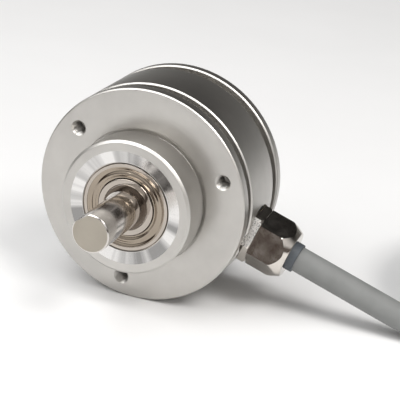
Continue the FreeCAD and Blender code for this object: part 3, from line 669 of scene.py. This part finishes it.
def make_cable():
    curve = bpy.data.curves.new("cable", "CURVE")
    curve.dimensions = "3D"
    curve.resolution_u = 8
    curve.bevel_depth = cable_r
    curve.bevel_resolution = 8
    curve.use_fill_caps = True
    route = lead_points() + coil_line()
    spline = curve.splines.new("NURBS")
    spline.points.add(len(route) - 1)
    for point, place in zip(spline.points, route):
        point.co = tuple(place) + (1.0,)
    spline.order_u = 3
    spline.use_endpoint_u = True
    curve.materials.append(MATERIALS["cable_jacket"])
    cable = bpy.data.objects.new("cable", curve)
    bpy.context.scene.collection.objects.link(cable)
    show(cable, BODY, "cable_jacket", "cable_lead", "cable_coil")


# ---- case -------------------------------------------------------------------------------------------
def in_mm(value):
    return value / MM


def around(count, radius, first_deg):
    """Centres (x, z) in metres, evenly spaced on a circle about the shaft's axis."""
    angles = [math.radians(first_deg + 360 * k / count) for k in range(count)]
    return [(radius * MM * math.cos(a), radius * MM * math.sin(a)) for a in angles]


def thread_cutter(x, z):
    """A countersunk hole with the grooves of its thread, closed by the drill's cone."""
    r, mouth = in_mm(hole_r), hole_mouth_r
    profile = [(0, -overrun / 2), (mouth, -overrun / 2), (mouth, 0), (r, mouth - r)]
    y = mouth - r + thread_start * thread_pitch
    while y < hole_depth - thread_stop * thread_pitch:
        crest, foot = y + thread_pitch * thread_crest, y + thread_pitch * thread_foot
        profile += [(r, y), (r + thread_depth, crest), (r, foot)]
        y += thread_pitch
    profile += [(r, hole_depth - hole_cone), (0, hole_depth)]
    place = Matrix.Translation(Vector((x, 0, z)))
    return lathe("cutter", profile, [], hole_segments, place)


def make_flange():
    bore, collar, rim = in_mm(bearing_r), in_mm(collar_r), in_mm(flange_r)
    front, rear = in_mm(low("front_flange").y), in_mm(high("front_flange").y)
    bearing_y0 = in_mm(low("front_bearing_outer_ring").y)
    joint = in_mm(housing_y0)
    back, floor_r, fine = joint + spigot_len, rim - groove_depth, broken_edge
    cut_r, foot_r = collar - collar_chamfer - collar_face_w, collar - relief_depth
    ring_start, ring_end, ring_depth = ring_groove
    ring_r = floor_r - ring_depth
    profile = [
        (bore, bearing_y0), (bore + mouth_step, bearing_y0, mouth_edge), (cut_r, front, fine),
        (collar - collar_chamfer, front, fine), (collar, front + collar_chamfer, fine),
        (collar, -relief_len, collar_round), (foot_r, -relief_len, fine), (foot_r, relief_sink, fine),
        (collar + relief_out, relief_sink, fine), (collar + relief_out, 0, fine), (rim - edge, 0, fine),
        (rim, edge, fine), (rim, rim_len, rim_round), (floor_r, rim_len, groove_root),
        (floor_r, joint + ring_start), (ring_r, joint + ring_start), (ring_r, joint + ring_end),
        (floor_r, joint + ring_end), (floor_r, back), (hub_r, back), (hub_r, rear), (bore, rear),
        (bore, web_y1), (web_r, web_y1), (web_r, web_y0), (bore, web_y0)]
    flange = lathe("flange_turned", profile, [MATERIALS["turned_aluminium"], MATERIALS["bright_cut"]])
    cutters = [thread_cutter(x, z) for x, z in around(hole_count, in_mm(hole_circle_r), hole_from_x_deg)]
    for count, circle_r, first_deg, r in (standoff_hole, cover_hole):
        drilled = [(0, back_hole_y0), (r, back_hole_y0), (r, back + overrun), (0, back + overrun)]
        cutters += [lathe("cutter", drilled, [], screw_segments, Matrix.Translation(Vector((x, 0, z))))
                    for x, z in around(count, circle_r, first_deg)]
    boolean(flange, joined(cutters))
    # The bright-cut faces inside the collar take the mirror finish with its painted reflections.
    for poly in flange.data.polygons:
        spot = poly.center
        reach = math.hypot(spot.x, spot.z)
        poly.material_index = int(bearing_r < reach < cut_r * MM and spot.y < bearing_y0 * MM)
    show(flange, BODY, "turned_aluminium", "front_flange")


def make_housing():
    rim, fine, start, end = in_mm(flange_r), broken_edge, in_mm(housing_y0), in_mm(housing_y1)
    lip, inner = rim - groove_depth + slip, rim - housing_wall
    profile = [(lip, start, fine), (rim - edge, start, fine), (rim, start + edge, fine),
               (rim, end - edge, fine), (rim - edge, end, fine), (lip, end, fine),
               (lip, end - spigot_len), (inner, end - spigot_len), (inner, start + spigot_len),
               (lip, start + spigot_len)]
    housing = lathe("housing_turned", profile, [MATERIALS["turned_aluminium"]])
    place = gland_frame()

    def along_gland(radius, near, far):
        outline = [(0, near), (radius, near), (radius, far), (0, far)]
        return lathe("cutter", outline, [], gland_segments, place)

    boolean(housing, along_gland(boss_r, boss_inner, inner + overrun), "UNION")
    boolean(housing, along_gland(gland_corner_r + gland_spot_gap, gland_seat, beyond_case))
    boolean(housing, along_gland(gland_thread_r, boss_inner - overrun, beyond_case))
    show(housing, BODY, "turned_aluminium", "housing")


def make_rear_cover():
    rim, fine, rear = in_mm(flange_r), broken_edge, in_mm(case_end)
    plate, front, joint = rear - rear_rim_len, in_mm(low("rear_cover").y), in_mm(housing_y1)
    floor_r, inner_r = rim - groove_depth, rim - 2 * groove_depth
    ring_start, ring_end, ring_depth = ring_groove
    ring_r = floor_r - ring_depth
    profile = [(0, plate), (inner_r, plate), (inner_r, front), (floor_r, front),
               (floor_r, joint - ring_end), (ring_r, joint - ring_end), (ring_r, joint - ring_start),
               (floor_r, joint - ring_start), (floor_r, plate, groove_root), (rim - edge, plate, fine),
               (rim, plate + edge, fine), (rim, rear - edge, fine), (rim - edge, rear, fine), (0, rear)]
    cover = lathe("rear_cover_turned", profile, [MATERIALS["turned_aluminium"]])
    count, circle_r, first_deg, _ = cover_hole
    outside, inside = rear + overrun, plate - overrun
    sunk = [(0, outside), (cover_head_r, outside), (cover_head_r, rear),
            (cover_clear_r, rear - cover_head_depth), (cover_clear_r, inside), (0, inside)]
    cutters = [lathe("cutter", sunk, [], hole_segments, Matrix.Translation(Vector((x, 0, z))))
               for x, z in around(count, circle_r, first_deg)]
    boolean(cover, joined(cutters))
    show(cover, BODY, "turned_aluminium", "rear_cover")


# ---- shaft ------------------------------------------------------------------------------------------
def make_shaft():
    tip, tail, radius = in_mm(low("shaft").y), in_mm(high("shaft").y), in_mm(shaft_r)
    slope = shaft_end_chamfer
    profile = [
        (0, tip), (radius - slope, tip, shaft_end_edge), (radius, tip + slope, shaft_end_edge),
        (radius, journal_y0), (journal_r, journal_y0, rim_round), (journal_r, web_y0),
        (shoulder_r, web_y0, broken_edge), (shoulder_r, rear_bearing_y0, broken_edge),
        (journal_r, rear_bearing_y0), (journal_r, clip_y0), (clip_r, clip_y0), (clip_r, clip_y1),
        (journal_r, clip_y1), (journal_r, journal_y1, rim_round), (stub_r, journal_y1),
        (stub_r, tail - slope), (stub_r - slope, tail), (0, tail)]
    looks = [MATERIALS[slot] for slot in ("shaft_steel", "shaft_end", "shaft_step_painted_shade")]
    shaft = lathe("shaft_ground", profile, looks, shaft_segments)
    flat_x, clear = radius - flat_depth, 2 * radius
    corners = [(x, y, z) for x in (flat_x, clear) for y in (tip - overrun, tip + flat_len)
               for z in (-clear, clear)]
    turn = Matrix.Rotation(-math.radians(flat_deg), 4, "Y")
    sides = [[0, 1, 3, 2], [4, 6, 7, 5], [0, 4, 5, 1], [2, 3, 7, 6], [0, 2, 6, 4], [1, 5, 7, 3]]
    cutter = piece_from("cutter", [turn @ (Vector(v) * MM) for v in corners], sides, [])
    outward(cutter)
    boolean(shaft, cutter)
    # End faces take the shaft_end finish; the journal's step face takes the near-black finish, painted shade
    # in the recess round the shaft
    for poly in shaft.data.polygons:
        facing = poly.normal.y < -facing_front
        if facing and poly.center.y < (tip + slope / 4) * MM:
            poly.material_index = 1
        elif facing and abs(poly.center.y - journal_y0 * MM) < slip * MM:
            poly.material_index = 2
    show(shaft, SHAFT, "shaft_steel", "shaft")


# ---- bearings ---------------------------------------------------------------------------------------
def race_arc(middle, side):
    """The raceway's groove in a ring, in a (radius, length) profile; side is -1 for the inner ring."""
    land = race_circle_r + side * (ball_groove_r - race_land)
    half = math.acos((ball_groove_r - race_land) / ball_groove_r)
    angles = [half * (1 - 2 * k / race_steps) for k in range(race_steps + 1)]
    return land, [(race_circle_r + side * ball_groove_r * math.cos(a), middle + ball_groove_r * math.sin(a))
                  for a in angles]


def shield_profile(y0, forward):
    """A pressed shield with round ridges; forward is 1 where it faces -Y and -1 where it faces +Y."""
    seen, hidden = [], []
    for k in range(shield_steps + 1):
        r = shield_outer_r + (shield_inner_r - shield_outer_r) * k / shield_steps
        deep = shield_depth - shield_wave * math.cos(2 * math.pi * shield_waves * k / shield_steps)
        seen.append((r, y0 + forward * deep))
        hidden.append((r, y0 + forward * (deep + shield_t)))
    return seen + hidden[::-1]


def make_bearing(prefix):
    front, rear = in_mm(low(prefix + "_outer_ring").y), in_mm(high(prefix + "_outer_ring").y)
    seat_r, outside, middle = shield_seat_r, in_mm(bearing_r), (front + rear) / 2
    land, groove = race_arc(middle, 1)
    outer = [(seat_r, front, ring_edge), (outside - corner_w, front, broken_edge),
             (outside - corner_w / 2, front + corner_depth), (outside, front + corner_depth),
             (outside, rear, ring_round), (seat_r, rear, ring_edge), (seat_r, rear - shield_sink),
             (land, rear - shield_sink)]
    outer += groove + [(land, front + shield_sink), (seat_r, front + shield_sink)]
    ring = lathe(prefix + "_outer", outer, [MATERIALS["bearing_steel"]])
    show(ring, BODY, "bearing_steel", prefix + "_outer_ring")
    land, groove = race_arc(middle, -1)
    inner = [(journal_r, front, ring_round), (journal_r, rear, ring_round), (land, rear, ring_round)]
    inner += groove + [(land, front, ring_round)]
    ring = lathe(prefix + "_inner", inner, [MATERIALS["bearing_steel"]])
    show(ring, SHAFT, "bearing_steel", prefix + "_inner_ring")
    for name, start, forward in (("_shield_front", front, 1), ("_shield_back", rear, -1)):
        shield = lathe(prefix + name, shield_profile(start, forward), [MATERIALS["shield_steel"]])
        show(shield, BODY, "shield_steel", prefix + "_shields")


# ---- cable gland ------------------------------------------------------------------------------------
def hex_piece(name, start, end, turn_deg, outline, bore, material):
    """A hexagon along the gland, with its corners turned to an outline and a stepped bore."""
    place = gland_frame()
    piece = hexagon(name, gland_flats, start, end, turn_deg, [material], place)
    boolean(piece, lathe("cutter", outline, [], outline_segments, place), "INTERSECT")
    bevelled(piece, gland_edge)
    boolean(piece, lathe("cutter", bore, [], gland_segments, place))
    smooth(piece, gland_sharp_deg)
    return piece


def make_gland_body():
    slope, place, metal = gland_chamfer, gland_frame(), MATERIALS["nickel_brass"]
    start, end, wide = gland_hex0, gland_hex1, gland_corner_r + gland_corner_slope * slope
    before, after = start - overrun, end + overrun
    outline = [(0, before), (wide, before), (wide, start), (gland_corner_r - slope, end), (0, end)]
    bore = [(0, before), (gland_bore_r, before), (gland_bore_r, after), (0, after)]
    body = hex_piece("gland_body_hexagon", start, end, gland_body_turn, outline, bore, metal)
    body.data.materials.append(MATERIALS["speckled_highlight_nickel"])
    # One facet of the body's hexagon takes the speckled finish, whose near-white colour paints the highlight
    # on that side.
    turn = math.radians(gland_body_turn + highlight_facet_deg)
    highlight_facing = place.to_3x3() @ Vector((math.sin(turn), 0, math.cos(turn)))
    for poly in body.data.polygons:
        poly.material_index = int(poly.normal.dot(highlight_facing) > highlight_facet_within)
    show(body, BODY, "nickel_brass", "gland_body")

    thread = gland_thread_r - slip
    barrel = [(gland_bore_r, gland_inner), (thread - slope, gland_inner), (thread, gland_inner + slope),
              (thread, start), (gland_bore_r, start)]
    neck = [(gland_bore_r, end), (gland_neck_r, end), (gland_neck_r, gland_neck1),
            (seal_r + slip, gland_neck1), (seal_r + slip, seal0), (gland_bore_r, seal0)]
    for name, profile in (("gland_body_barrel", barrel), ("gland_body_neck", neck)):
        show(lathe(name, profile, [metal], gland_segments, place), BODY, "nickel_brass", "gland_body")


def make_gland_nut():
    start, end = gland_nut0, gland_nut1
    cone = 2 * (gland_corner_r - gland_nut_end_r)
    outline = [(0, start), (gland_corner_r, start), (gland_corner_r, end - cone, nut_shoulder_round),
               (gland_nut_end_r, end, nut_end_round), (0, end)]
    thread, chamber, lip = gland_neck_r + slip, seal_r + slip, seal_lip_r + slip
    step, before, after = gland_neck1 + neck_gap, start - overrun, end + nut_mouth_out
    bore = [(0, before), (thread, before), (thread, step), (chamber, step), (chamber, seal_lip0),
            (lip, seal_lip0), (lip, end - nut_mouth_in), (seal_lip_r + nut_mouth_w, after), (0, after)]
    metal = MATERIALS["nickel_brass"]
    nut = hex_piece("gland_nut_hexagon", start, end, gland_nut_turn, outline, bore, metal)
    show(nut, BODY, "nickel_brass", "gland_nut")


def make_gland_seal():
    inside = in_mm(cable_r)
    rubber = [(inside, seal0), (seal_r, seal0), (seal_r, seal_lip0), (seal_lip_r, seal_lip0),
              (seal_lip_r, seal_end, seal_round), (inside, seal_end)]
    looks = [MATERIALS["seal_rubber"]]
    seal = lathe("gland_seal_ring", rubber, looks, gland_segments, gland_frame())
    show(seal, BODY, "black_rubber", "gland_seal")


finish_cad_nodes()
make_camera()
make_studio()
make_cable()
make_flange()
make_housing()
make_rear_cover()
make_shaft()
for prefix in ("front_bearing", "rear_bearing"):
    make_bearing(prefix)
make_gland_body()
make_gland_nut()
make_gland_seal()
